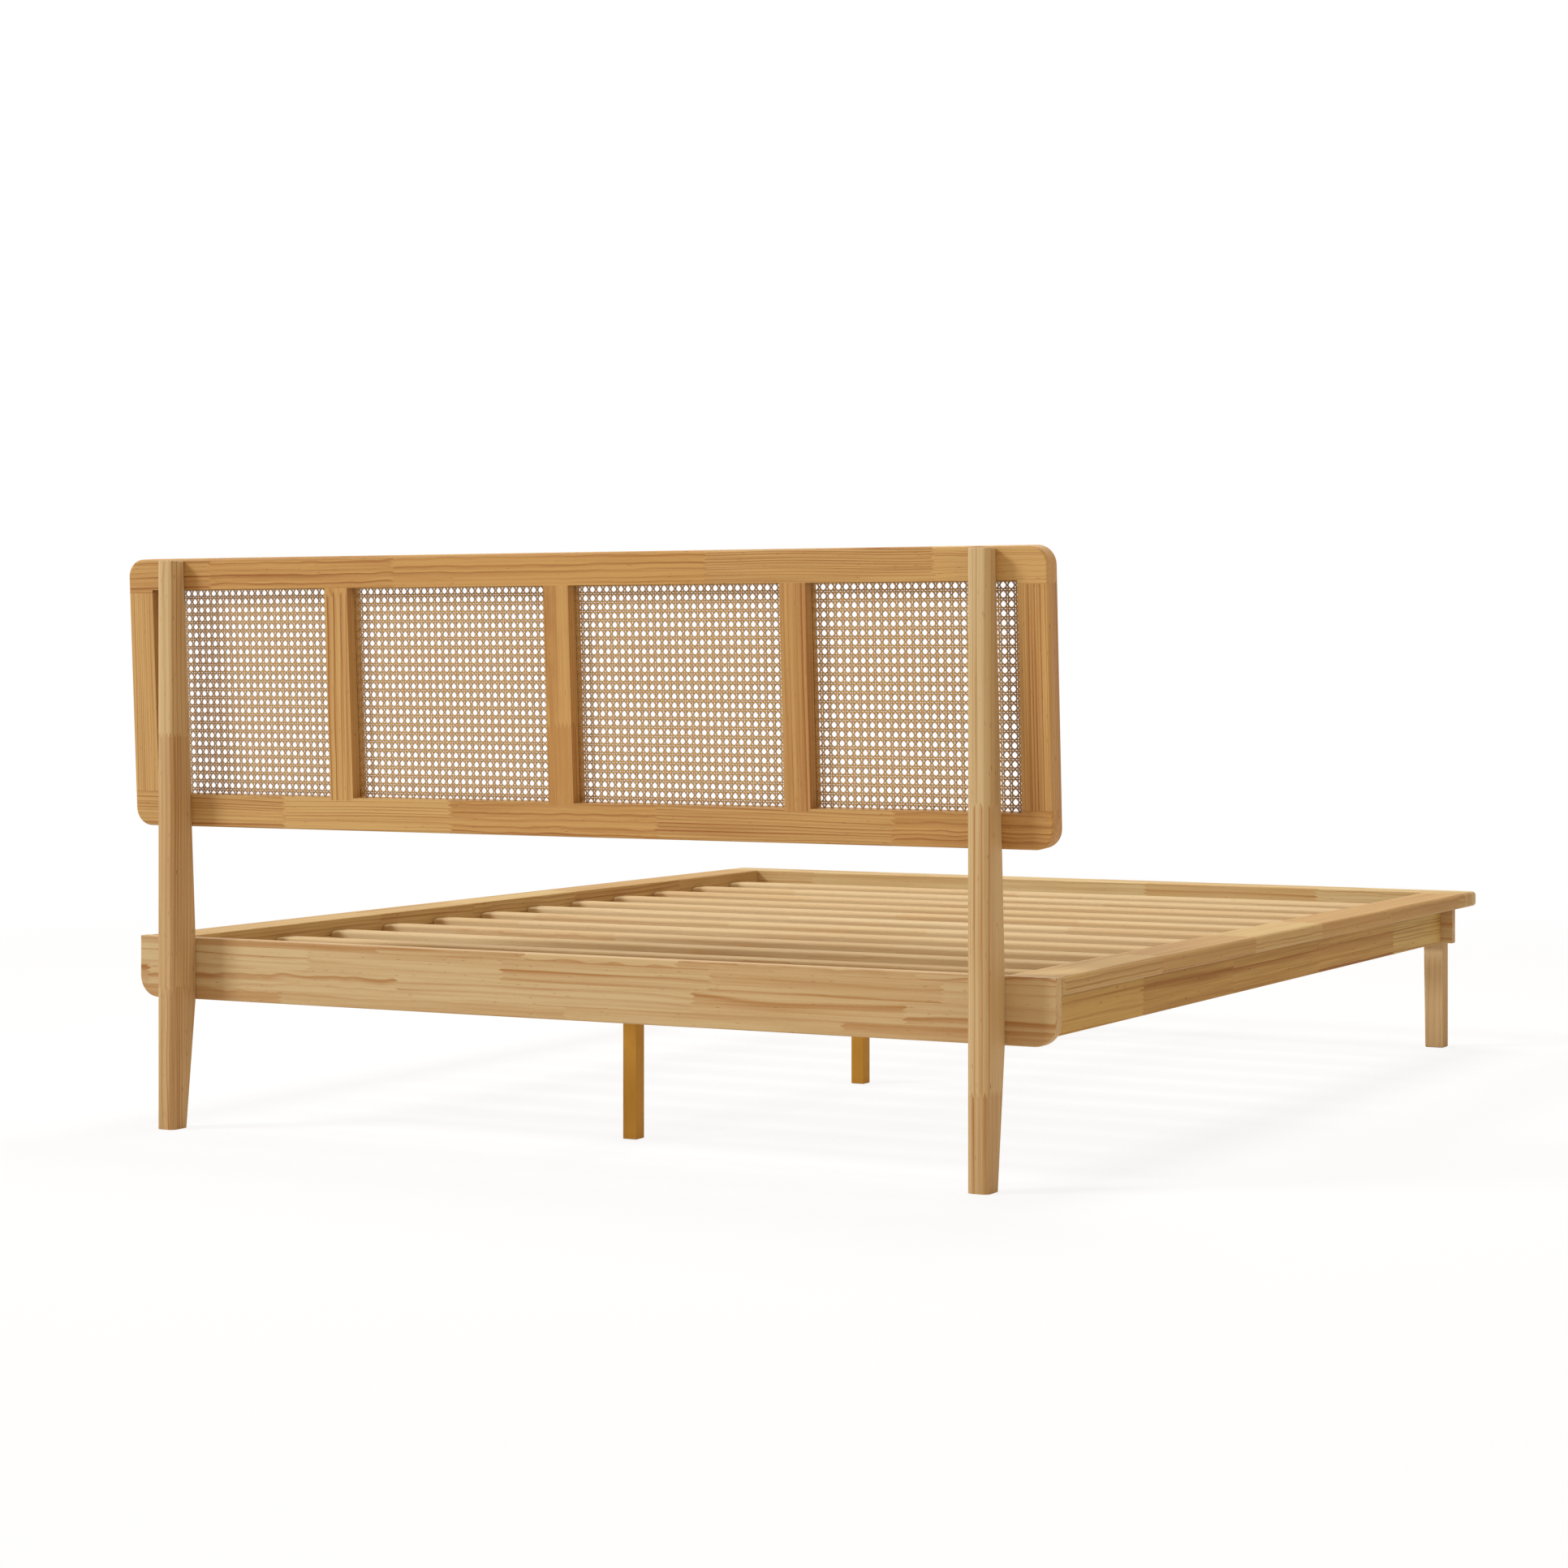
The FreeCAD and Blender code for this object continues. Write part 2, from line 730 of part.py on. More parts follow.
side_length = head_rail_front - foot_inner
apron_length = head_rail_front - foot_apron_inner
board_radius = least(size("top_board_outer_radius"), size("top_board_thickness") * EDGE_LIMIT_SHARE)
for side, sign in SIDES:
    label = side + "_side_board"
    body = board(label, size("side_board_width"), side_length, size("top_board_thickness"))
    low, high = mirrored(sign, recess_half, half_width)
    outer, inner = (high - low, ZERO) if sign > 0 else (ZERO, high - low)
    round_edges(body, board_radius, lambda edge: runs_along(edge, 1) and level(edge, 0, outer), label + "_outer")
    round_edges(body, size("top_board_inner_radius"), lambda edge: runs_along(edge, 1) and level(edge, 0, inner),
                label + "_inner")
    place(body, low, foot_inner, board_bottom)
    pieces[label] = body
    label = side + "_side_apron"
    body = board(label, size("apron_thickness"), apron_length, apron_height)
    round_edges(body, size("apron_edge_radius"), lambda edge: runs_along(edge, 1) and level(edge, 2, ZERO),
                label + "_edges")
    low, high = mirrored(sign, recess_half, apron_outer)
    place(body, low, foot_apron_inner, rail_bottom)
    pieces[label] = body

# Foot board across the whole width, foot apron under it and a leg near each of its ends, whose
# inner side tapers to its foot.

foot_board = start_body("foot_board")
add_pad(foot_board, "XY_Plane", [rectangle(-half_width, half_width, ZERO, size("foot_board_width"))],
        size("top_board_thickness"), "foot_board_pad")
round_edges(foot_board, size("foot_board_corner_radius"),
            lambda edge: runs_along(edge, 2) and level(edge, 1, ZERO), "foot_board_corners")


def on_board_face(edge):
    return level(edge, 2, ZERO) or level(edge, 2, size("top_board_thickness"))


def beside_recess(edge):
    return level(edge, 1, size("foot_board_width"))


round_edges(foot_board, board_radius, lambda edge: on_board_face(edge) and not beside_recess(edge),
            "foot_board_outer")
round_edges(foot_board, size("top_board_inner_radius"), lambda edge: on_board_face(edge) and beside_recess(edge),
            "foot_board_inner")
place(foot_board, ZERO, foot_edge, board_bottom)
pieces["foot_board"] = foot_board

foot_apron_half = apron_outer + size("foot_apron_overhang")
foot_apron = start_body("foot_apron")
add_pad(foot_apron, "XY_Plane",
        [rectangle(-foot_apron_half, foot_apron_half, ZERO, size("foot_apron_thickness"))],
        apron_height, "foot_apron_pad")


def apron_rim(edge):
    at_end = level(edge, 0, foot_apron_half) or level(edge, 0, -foot_apron_half)
    return at_end or level(edge, 2, ZERO)


round_edges(foot_apron, size("apron_edge_radius"), apron_rim, "foot_apron_edges")
place(foot_apron, ZERO, foot_apron_outer, rail_bottom)
pieces["foot_apron"] = foot_apron

leg_inner = apron_outer - size("foot_leg_width")
leg_foot_inner = apron_outer - size("foot_leg_foot_width")
leg_bolt_middle = rail_bottom + apron_height / 2
for side, sign in SIDES:
    label = side + "_foot_leg"
    body = start_body(label)
    low, high = mirrored(sign, leg_inner, apron_outer)
    foot_low, foot_high = mirrored(sign, leg_foot_inner, apron_outer)
    outline = [(foot_low, ZERO), (foot_high, ZERO), (high, board_bottom), (low, board_bottom)]
    add_pad(body, "XZ_Plane", [outline], size("foot_leg_depth"), label + "_pad")
    round_edges(body, size("foot_leg_edge_radius"), lambda edge: runs_along(edge, 2) or level(edge, 2, ZERO),
                label + "_edges")
    place(body, ZERO, foot_apron_outer, ZERO)
    pieces[label] = body
    for number, step in enumerate((-1, 1), 1):
        z = leg_bolt_middle + size("leg_bolt_spacing") * step / 2
        spot = ((leg_inner + size("leg_bolt_inset")) * sign, foot_apron_inner, z, X_AXIS, quarter_turn)
        bolt(side + "_leg_bolt_" + str(number), "small", size("leg_bolt_length"), ZERO,
             size("foot_apron_thickness"), spot, ("foot_apron", label), ("foot_leg_bolts", "foot_leg_sleeves"))

# Slats on two ledges, each slat located by a peg at either end.

ledge_start = foot_apron_inner + size("ledge_setback")
ledge_length = head_rail_front - size("ledge_setback") - ledge_start
slat_half = recess_half - size("slat_end_clearance")
first_slat = head_rail_front - size("slat_end_gap") - size("slat_width")
last_slat = foot_inner + size("slat_end_gap")
slat_pitch = (first_slat - last_slat) / (SLAT_COUNT - 1)
slat_radius = least(size("slat_top_radius"), size("slat_thickness") * EDGE_LIMIT_SHARE)
peg_x = recess_half - size("ledge_width") / 2
peg_hole = size("peg_radius") + size("peg_clearance")
peg_bottom = slat_bottom + size("peg_depth_in_slat") - size("peg_length")
for side, sign in SIDES:
    label = side + "_slat_ledge"
    body = board(label, size("ledge_width"), ledge_length, size("ledge_thickness"))
    low, high = mirrored(sign, recess_half - size("ledge_width"), recess_half)
    place(body, low, ledge_start, slat_bottom - size("ledge_thickness"))
    pieces[label] = body
for number in range(1, SLAT_COUNT + 1):
    label = "slat_" + str(number).zfill(2)
    body = start_body(label)
    add_pad(body, "XY_Plane", [rectangle(-slat_half, slat_half, ZERO, size("slat_width"))],
            size("slat_thickness"), label + "_pad")
    round_edges(body, slat_radius, lambda edge: level(edge, 2, size("slat_thickness")), label + "_top")
    round_edges(body, size("slat_bottom_radius"), lambda edge: level(edge, 2, ZERO), label + "_bottom")
    slat_y = first_slat - slat_pitch * (number - 1)
    place(body, ZERO, slat_y, slat_bottom)
    pieces[label] = body
    for side, sign in SIDES:
        name = side + "_peg_" + str(number)
        y = slat_y + size("slat_width") / 2
        add_to("slat_pegs", peg(name, size("peg_radius"), size("peg_length"), (peg_x * sign, y, peg_bottom)))
        spot = (peg_x * sign, y, peg_bottom - clearance)
        for host in (label, side + "_slat_ledge"):
            cut_from(host, peg(name + "_hole_in_" + host, peg_hole, size("peg_length") + clearance * 2, spot))

# Centre beam under the slats, in a steel hanger at each end, on three square legs.

beam_bottom = slat_bottom - size("beam_height")
hanger_plate = size("hanger_plate")
half_beam = size("beam_width") / 2
beam_start = foot_apron_inner + hanger_plate
beam_end = head_rail_front - hanger_plate
beam = board("centre_beam", size("beam_width"), beam_end - beam_start, size("beam_height"))
place(beam, -half_beam, beam_start, beam_bottom)
pieces["centre_beam"] = beam
first_leg = head_rail_front - size("leg_head_distance")
last_leg = foot_apron_inner + size("leg_foot_distance")
leg_pitch = (first_leg - last_leg) / (MIDDLE_LEG_COUNT - 1)
half_leg = size("middle_leg_size") / 2
stud_hole = size("stud_radius") + size("peg_clearance")
for index in range(MIDDLE_LEG_COUNT):
    label = "middle_leg_" + str(index + 1)
    leg_y = first_leg - leg_pitch * index
    body = board(label, size("middle_leg_size"), size("middle_leg_size"), beam_bottom)
    round_edges(body, size("middle_leg_edge_radius"), lambda edge: not level(edge, 2, beam_bottom),
                label + "_edges")
    place(body, -half_leg, leg_y - half_leg, ZERO)
    pieces[label] = body
    name = "stud_" + str(index + 1)
    low = beam_bottom - size("stud_length") / 2
    add_to("middle_leg_studs", peg(name, size("stud_radius"), size("stud_length"), (ZERO, leg_y, low)))
    for host in (label, "centre_beam"):
        cut_from(host, peg(name + "_hole_in_" + host, stud_hole, size("stud_length") + clearance * 2,
                           (ZERO, leg_y, low - clearance)))

# Steel plates and their screws.


def plate(name, x_low, x_high, y_low, y_high, z_low, high):
    item = doc.addObject("Part::Box", name)
    bind(item, "Length", x_high - x_low)
    bind(item, "Width", y_high - y_low)
    bind(item, "Height", high)
    place(item, x_low, y_low, z_low)
    return item


def screw(name, label, host, spot):
    """A screw whose head bears on a plate, its hole in the wood, and its hole in the plate."""
    head = size("screw_head_height")
    radius = size("screw_radius")
    hole = (radius + size("peg_clearance"), size("screw_length") + clearance + overrun, -overrun)
    add_to(label, stack(name, [(size("screw_head_radius"), head, -head), (radius, size("screw_length"), ZERO)], spot))
    cut_from(host, stack(name + "_hole_in_wood", [hole], spot))
    return stack(name + "_hole_in_plate", [hole], spot)


ENDS = (("head_rail", head_rail_front, -1), ("foot_apron", foot_apron_inner, 1))


def off_wall(wall, inward, reach):
    """The low and high Y of a thing that stands on a wall and reaches inward."""
    return (wall, wall + reach) if inward > 0 else (wall - reach, wall)


# A hanger is a back plate with two flanges and a trough that carries the beam's end.

trough_half = half_beam + hanger_plate
hanger_half = trough_half + size("hanger_flange_width")
hanger_low = beam_bottom - hanger_plate
hanger_height = size("hanger_height")
for host, wall, inward in ENDS:
    name = host + "_hanger"
    low, high = off_wall(wall, inward, hanger_plate)
    walls = [plate(name + "_back", -hanger_half, hanger_half, low, high, hanger_low, hanger_height)]
    low, high = off_wall(wall, inward, size("hanger_seat_length"))
    walls.append(plate(name + "_floor", -trough_half, trough_half, low, high, hanger_low, hanger_plate))
    holes = []
    for side, sign in SIDES:
        inner, outer = mirrored(sign, half_beam, trough_half)
        walls.append(plate(name + "_" + side, inner, outer, low, high, hanger_low, hanger_height))
        x = (trough_half + size("hanger_flange_width") / 2) * sign
        spot = (x, wall + hanger_plate * inward, hanger_low + hanger_height / 2, X_AXIS, quarter_turn * inward)
        holes.append(screw(name + "_" + side + "_screw", "hanger_screws", host, spot))
    add_to("beam_hangers", drilled(name, fused(name + "_walls", walls), holes))

# A corner bracket is a steel angle between a side apron and the piece across the end.

bracket_leg = size("bracket_leg")
bracket_plate = size("bracket_plate")
bracket_width = size("bracket_width")
bracket_reach = bracket_leg * BRACKET_REACH_SHARE
for host, wall, inward in ENDS:
    middle = rail_middle if host == "head_rail" else leg_bolt_middle
    bracket_low = middle - bracket_width / 2
    for side, sign in SIDES:
        name = side + "_" + host + "_bracket"
        x_low, x_high = mirrored(sign, recess_half - bracket_plate, recess_half)
        y_low, y_high = off_wall(wall, inward, bracket_leg)
        side_leg = plate(name + "_side", x_low, x_high, y_low, y_high, bracket_low, bracket_width)
        x_low, x_high = mirrored(sign, recess_half - bracket_leg, recess_half)
        y_low, y_high = off_wall(wall, inward, bracket_plate)
        end_leg = plate(name + "_end", x_low, x_high, y_low, y_high, bracket_low, bracket_width)
        holes = []
        for number, share in enumerate(BRACKET_SCREW_SHARES, 1):
            z = bracket_low + bracket_width * share
            spot = ((recess_half - bracket_plate) * sign, wall + bracket_reach * inward, z,
                    Y_AXIS, quarter_turn * sign)
            holes.append(screw(name + "_side_screw_" + str(number), "bracket_screws", side + "_side_apron", spot))
            spot = ((recess_half - bracket_reach) * sign, wall + bracket_plate * inward, z,
                    X_AXIS, quarter_turn * inward)
            holes.append(screw(name + "_end_screw_" + str(number), "bracket_screws", host, spot))
        add_to("corner_brackets", drilled(name, fused(name + "_legs", [side_leg, end_leg]), holes))

# Every hole is cut, then like fasteners are gathered, so that each group has one file.

doc.recompute()
for label, holes in holes_in.items():
    pieces[label] = drilled(label, pieces[label], holes)
for label, items in groups.items():
    pieces[label] = group(label, items)
doc.recompute()
for item in doc.Objects:
    if "Invalid" in item.State or "Error" in item.State:
        raise RuntimeError(item.Name + " failed: " + ", ".join(item.State))
os.makedirs("parts", exist_ok=True)
for label, item in pieces.items():
    shape = item.Shape
    if shape.isNull() or not shape.isValid() or not shape.Solids:
        raise RuntimeError(label + " has no valid solid")
    shape.exportStep(os.path.join("parts", label + ".step"))
    print(label, len(shape.Solids), round(shape.Volume / 1000.0), "cm3")
print(len(pieces), "pieces")
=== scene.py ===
import math
from collections import namedtuple

import bpy
from mathutils import Euler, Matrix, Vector


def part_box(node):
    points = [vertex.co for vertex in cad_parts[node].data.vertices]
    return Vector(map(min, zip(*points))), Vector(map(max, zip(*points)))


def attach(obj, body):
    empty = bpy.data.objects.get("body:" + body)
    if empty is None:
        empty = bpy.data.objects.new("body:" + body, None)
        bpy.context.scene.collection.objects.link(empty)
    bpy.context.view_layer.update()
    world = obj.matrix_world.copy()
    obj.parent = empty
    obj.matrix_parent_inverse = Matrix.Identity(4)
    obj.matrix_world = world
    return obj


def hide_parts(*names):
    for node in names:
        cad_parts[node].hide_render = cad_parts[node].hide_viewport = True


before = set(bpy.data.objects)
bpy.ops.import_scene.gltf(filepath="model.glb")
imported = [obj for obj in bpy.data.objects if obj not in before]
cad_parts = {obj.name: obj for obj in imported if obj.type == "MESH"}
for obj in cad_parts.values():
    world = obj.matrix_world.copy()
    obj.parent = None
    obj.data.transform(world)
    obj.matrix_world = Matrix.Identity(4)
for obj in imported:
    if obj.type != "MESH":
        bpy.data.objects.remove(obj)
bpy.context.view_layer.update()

LEAN = math.radians(3.0)  # the headboard's slope, off upright

# Camera, as the photograph was taken: level, from behind the headboard, low and far off.
CAMERA_PLACE = (-2.8855, 5.7669, 0.7949)
CAMERA_PITCH = 90.0
CAMERA_HEADING = 207.818
CAMERA_LENS = 79.49
CAMERA_SENSOR = 36.0
CAMERA_DROP = -0.0813
CAMERA_REACH = 100.0

# Woven cane. The first pair of strands across lies one hold below the top edge of the panel.
CANE_PANEL_COUNT = 4
CANE_PANEL_THICKNESS = 0.002
CANE_PITCH_ACROSS = 0.0131
CANE_PITCH_UP = 0.0141
CANE_PAIR_OFFSET = 0.0015
CANE_STRAND_WIDTH = 0.002
CANE_STRAND_THICKNESS = 0.0007
CANE_WEAVE_RISE = 0.0004
CANE_DIAGONAL_WIDTH = 0.0019
CANE_DIAGONAL_RISE = CANE_STRAND_THICKNESS * 0.9
CANE_STEPS_PER_CELL = 4
CANE_SPARE_CELLS = 2
CANE_HOLD = 0.0077
STRAND_CORNERS = 4
LEAST_RUN = 1e-9
LEAST_KEPT_SHARE = 1e-3


# Colours and shader nodes

def screen_colour(red, green, blue):
    """A colour written as it looks on a screen, from 0 to 255, as the linear values of a shader."""
    def linear(level):
        share = level / 255.0
        return share / 12.92 if share <= 0.04045 else ((share + 0.055) / 1.055) ** 2.4
    return (linear(red), linear(green), linear(blue), 1.0)


WHITE = (1.0, 1.0, 1.0, 1.0)
MOTTLE_DETAIL = 2.0


class Shader:
    """The nodes of a new material or world, with short ways to add them."""

    def __init__(self, owner, output_kind="ShaderNodeOutputMaterial"):
        owner.use_nodes = True
        self.owner = owner
        self.tree = owner.node_tree
        self.tree.nodes.clear()
        self.output = self.tree.nodes.new(output_kind)

    def wire(self, value, socket):
        if isinstance(value, bpy.types.NodeSocket):
            self.tree.links.new(value, socket)
        else:
            socket.default_value = value

    def node(self, kind, sockets=None, **settings):
        made = self.tree.nodes.new(kind)
        for name, value in settings.items():
            setattr(made, name, value)
        for name, value in (sockets or {}).items():
            self.wire(value, made.inputs[name])
        return made

    def math(self, operation, *values, clamp=False):
        made = self.node("ShaderNodeMath", operation=operation, use_clamp=clamp)
        for socket, value in zip(made.inputs, values):
            self.wire(value, socket)
        return made.outputs[0]

    def vector(self, x, y, z):
        return self.node("ShaderNodeCombineXYZ", {"X": x, "Y": y, "Z": z}).outputs[0]

    def object_place(self):
        return self.node("ShaderNodeTexCoord").outputs["Object"]

    def channels(self, colour):
        return tuple(self.node("ShaderNodeSeparateColor", {0: colour}).outputs)

    def mix(self, share, one, other):
        made = self.node("ShaderNodeMix", data_type="RGBA")
        self.wire(share, made.inputs["Factor"])
        self.wire(one, made.inputs["A"])
        self.wire(other, made.inputs["B"])
        return made.outputs["Result"]

    def blend(self, share, one, other):
        """One shader over another, sent to the output."""
        made = self.node("ShaderNodeMixShader", {"Fac": share})
        self.wire(one, made.inputs[1])
        self.wire(other, made.inputs[2])
        self.wire(made.outputs[0], self.output.inputs["Surface"])

    def noise(self, vector, detail, roughness=0.5):
        return self.node("ShaderNodeTexNoise", {
            "Vector": vector, "Scale": 1.0, "Detail": detail, "Roughness": roughness,
        }).outputs["Fac"]

    def swing(self, vector, detail, roughness=0.5):
        """Noise that swings about zero."""
        return self.math("SUBTRACT", self.noise(vector, detail, roughness), 0.5)

    def mottle(self, scale):
        """Fine noise, with about so many grains to the metre."""
        place = self.node("ShaderNodeVectorMath", {0: self.object_place(), "Scale": scale},
                          operation="SCALE").outputs[0]
        return self.noise(place, MOTTLE_DETAIL)

    def surface(self, colour, roughness, metallic=0.0, normal=None, gloss=0.5):
        made = self.node("ShaderNodeBsdfPrincipled", {
            "Base Color": colour, "Roughness": roughness, "Metallic": metallic,
            "Specular IOR Level": gloss,
        })
        if normal is not None:
            self.wire(normal, made.inputs["Normal"])
        self.wire(made.outputs["BSDF"], self.output.inputs["Surface"])


# Pine: growth rings cut lengthwise, in staves that are finger jointed end to end. Wide boards
# are glued up from lanes of such staves.

Wood = namedtuple("Wood", "light warm dark contrast roughness gloss")

STAVE_LENGTH = 0.42
STAVE_RANDOMNESS = 0.85
STAVE_SEED_STEP = 17.31
LANE_WIDTH = 0.035
LANE_STEP = 7.31
FINGER_PITCH = 0.0075
FINGER_REACH = 0.01
FIRST_SEED = 0.37
SEED_STEP = 1.618

# Growth rings round a pith that lies outside the board
RING_PITCH = 0.0048
RING_LEAST_PITCH = RING_PITCH * 0.5
RING_UNEVEN_RATE = 0.7
RING_UNEVEN = 1.4
LATE_WOOD_POWER = 3.2
LATE_WOOD_EDGE = 8.0
LATE_WOOD_STRENGTH = 0.85
LATE_WOOD_LEAST = 0.15
PITH_SPREAD = 0.12
PITH_DEPTH = 0.09
PITH_LEAST_DEPTH = PITH_DEPTH / 5
GRAIN_WANDER = 0.011
GRAIN_RIPPLE = 0.005
RIPPLE_RARITY = 3.0

# How often each pattern changes in a metre along, across and into the wood, and how far it jumps
# from stave to stave
WANDER_SCALE = (1.3, 5.0, 5.0)
WANDER_JUMP = 40.0
RIPPLE_SCALE = (17.0, 30.0, 30.0)
RIPPLE_JUMP = 30.0
STREAK_SCALE = (4.0, 300.0, 300.0)
STREAK_JUMP = 20.0
CLOUD_SCALE = (1.6, 42.0, 42.0)
CLOUD_JUMP = 20.0
GRIT_SCALE = (260.0, 1500.0, 1500.0)
FLECK_SCALE = (30.0, 330.0, 110.0)

# Noise detail, and each pattern's share of the dark tone
WANDER_DETAIL = 2.0
RIPPLE_DETAIL = 1.0
STREAK_DETAIL = 4.0
STREAK_ROUGHNESS = 0.62
STREAK_SHARE = 0.85
CLOUD_DETAIL = 1.5
CLOUD_SHARE = 0.55
GRIT_DETAIL = 1.0
GRIT_SHARE = 0.22
STAVE_SHARE = 0.3
DARK_BASE_SHARE = 0.14
FLECK_SIZE = 0.16
FLECK_EDGE = 9.0
FLECK_RARITY = 0.6
FLECK_SHARE = 0.6
FLECK_BROWN = screen_colour(116, 70, 36)
GRAIN_BUMP = 0.06
GRAIN_BUMP_DEPTH = 0.001


def pattern_at(shader, grain, scale, shift=0.0):
    """Where a place in the wood lies in a pattern of its own scale."""
    length, width, depth = grain
    return shader.vector(
        shader.math("MULTIPLY_ADD", length, scale[0], shift),
        shader.math("MULTIPLY", width, scale[1]), shader.math("MULTIPLY", depth, scale[2]))


def ring_lines(shader, grain, chances):
    """Late wood lines of one stave, from 0 to 1."""
    length, width, depth = grain
    first, second, third = chances
    jump = shader.math("MULTIPLY", first, WANDER_JUMP)
    wander = shader.swing(pattern_at(shader, grain, WANDER_SCALE, jump), WANDER_DETAIL)
    wander = shader.math("MULTIPLY", wander, GRAIN_WANDER)
    jump = shader.math("MULTIPLY", second, RIPPLE_JUMP)
    ripple = shader.swing(pattern_at(shader, grain, RIPPLE_SCALE, jump), RIPPLE_DETAIL)
    ripple = shader.math("MULTIPLY", ripple, shader.math("POWER", first, RIPPLE_RARITY))
    bend = shader.math("MULTIPLY_ADD", ripple, GRAIN_RIPPLE, wander)

    off_side = shader.math("MULTIPLY", shader.math("SUBTRACT", first, 0.5), PITH_SPREAD)
    side = shader.math("ADD", shader.math("ADD", width, bend), off_side)
    off_depth = shader.math("MULTIPLY_ADD", second, PITH_DEPTH, PITH_LEAST_DEPTH)
    deep = shader.math("ADD", shader.math("ADD", depth, bend), off_depth)
    radius = shader.math("SQRT", shader.math(
        "ADD", shader.math("MULTIPLY", side, side), shader.math("MULTIPLY", deep, deep)))

    pitch = shader.math("MULTIPLY_ADD", third, RING_PITCH, RING_LEAST_PITCH)
    years = shader.math("DIVIDE", radius, pitch)
    spread = shader.vector(shader.math("MULTIPLY", years, RING_UNEVEN_RATE), first, second)
    years = shader.math("MULTIPLY_ADD", shader.noise(spread, 0.0), RING_UNEVEN, years)
    ring = shader.math("FRACT", years)
    late = shader.math("POWER", ring, LATE_WOOD_POWER)
    edge = shader.math("MULTIPLY", shader.math("SUBTRACT", 1.0, ring), LATE_WOOD_EDGE, clamp=True)
    chance = shader.node("ShaderNodeTexWhiteNoise", {"W": shader.math("FLOOR", years)},
                         noise_dimensions="1D")
    strength = shader.math(
        "MULTIPLY_ADD", chance.outputs["Value"], LATE_WOOD_STRENGTH, LATE_WOOD_LEAST)
    return shader.math("MULTIPLY", shader.math("MULTIPLY", late, edge), strength)


def flecks(shader, grain):
    """Short thin resin dashes along the grain."""
    cells = shader.node("ShaderNodeTexVoronoi", {
        "Vector": pattern_at(shader, grain, FLECK_SCALE), "Scale": 1.0})
    inside = shader.math("SUBTRACT", FLECK_SIZE, cells.outputs["Distance"])
    chance = shader.channels(cells.outputs["Color"])[0]
    shown = shader.math("GREATER_THAN", chance, FLECK_RARITY)
    return shader.math("MULTIPLY", shader.math("MULTIPLY", inside, FLECK_EDGE, clamp=True), shown)


def stave_chances(shader, grain, lane_at, seed):
    """Three chances from 0 to 1 that are alike within a stave and change at its finger joints."""
    length, width, depth = grain
    zigzag = shader.math("PINGPONG", shader.math("ADD", width, depth), FINGER_PITCH / 2)
    cell = shader.math("MULTIPLY_ADD", zigzag, FINGER_REACH * 2 / FINGER_PITCH, length)
    cell = shader.math("MULTIPLY_ADD", cell, 1 / STAVE_LENGTH, seed * STAVE_SEED_STEP)
    if lane_at is not None:
        lane = shader.math("FLOOR", shader.math("MULTIPLY_ADD", lane_at, 1 / LANE_WIDTH, seed))
        cell = shader.math("MULTIPLY_ADD", lane, LANE_STEP, cell)
    staves = shader.node("ShaderNodeTexVoronoi", {
        "W": cell, "Scale": 1.0, "Randomness": STAVE_RANDOMNESS}, voronoi_dimensions="1D")
    return shader.channels(staves.outputs["Color"])


def pine(name, along, wood, seed, lane):
    """Pine whose grain runs along X, Y or Z of the row frame, or up the headboard for S."""
    shader = Shader(bpy.data.materials.new(name))
    place = shader.object_place()
    if name.startswith("headboard") or along == "S":
        place = shader.node("ShaderNodeVectorRotate", {"Vector": place, "Angle": LEAN},
                            rotation_type="X_AXIS").outputs[0]
    x, y, z = shader.node("ShaderNodeSeparateXYZ", {0: place}).outputs
    grain = {"X": (x, z, y), "Y": (y, x, z), "Z": (z, x, y), "S": (z, x, y)}[along]
    lane_at = {"flat": y, "upright": z, None: None}[lane]
    chances = stave_chances(shader, grain, lane_at, seed)

    jump = shader.math("MULTIPLY", chances[0], STREAK_JUMP)
    streak = shader.swing(
        pattern_at(shader, grain, STREAK_SCALE, jump), STREAK_DETAIL, STREAK_ROUGHNESS)
    grit = shader.swing(pattern_at(shader, grain, GRIT_SCALE), GRIT_DETAIL)
    jump = shader.math("MULTIPLY", chances[2], CLOUD_JUMP)
    cloud = shader.swing(pattern_at(shader, grain, CLOUD_SCALE, jump), CLOUD_DETAIL)
    stave = shader.math("SUBTRACT", chances[1], 0.5)
    share = shader.math("MULTIPLY", ring_lines(shader, grain, chances), wood.contrast)
    for pattern, weight in (
            (streak, wood.contrast * STREAK_SHARE), (grit, GRIT_SHARE),
            (cloud, wood.contrast * CLOUD_SHARE), (stave, wood.contrast * STAVE_SHARE)):
        share = shader.math("MULTIPLY_ADD", pattern, weight, share)
    share = shader.math("ADD", share, DARK_BASE_SHARE, clamp=True)

    colour = shader.mix(share, shader.mix(chances[2], wood.light, wood.warm), wood.dark)
    dash = shader.math("MULTIPLY", flecks(shader, grain), wood.contrast * FLECK_SHARE)
    colour = shader.mix(dash, colour, FLECK_BROWN)
    bump = shader.node("ShaderNodeBump", {
        "Height": share, "Strength": GRAIN_BUMP, "Distance": GRAIN_BUMP_DEPTH}, invert=True)
    shader.surface(colour, wood.roughness, normal=bump.outputs[0], gloss=wood.gloss)
    return shader.owner


# Metal and cane

METAL_MOTTLE_SCALE = 400.0
METAL_DARKER_SHARE = 0.8
CANE_MOTTLE_SCALE = 90.0
CANE_LIGHT = screen_colour(224, 188, 126)
CANE_WARM = screen_colour(206, 161, 98)
# Painted shade: the brown that the strands darken to along their side edges, and how closely it
# keeps to those edges
CANE_PAINTED_SHADE = screen_colour(122, 74, 28)
CANE_SHADE_POWER = 1.4
CANE_ROUGHNESS = 0.6
CANE_GLOSS = 0.15


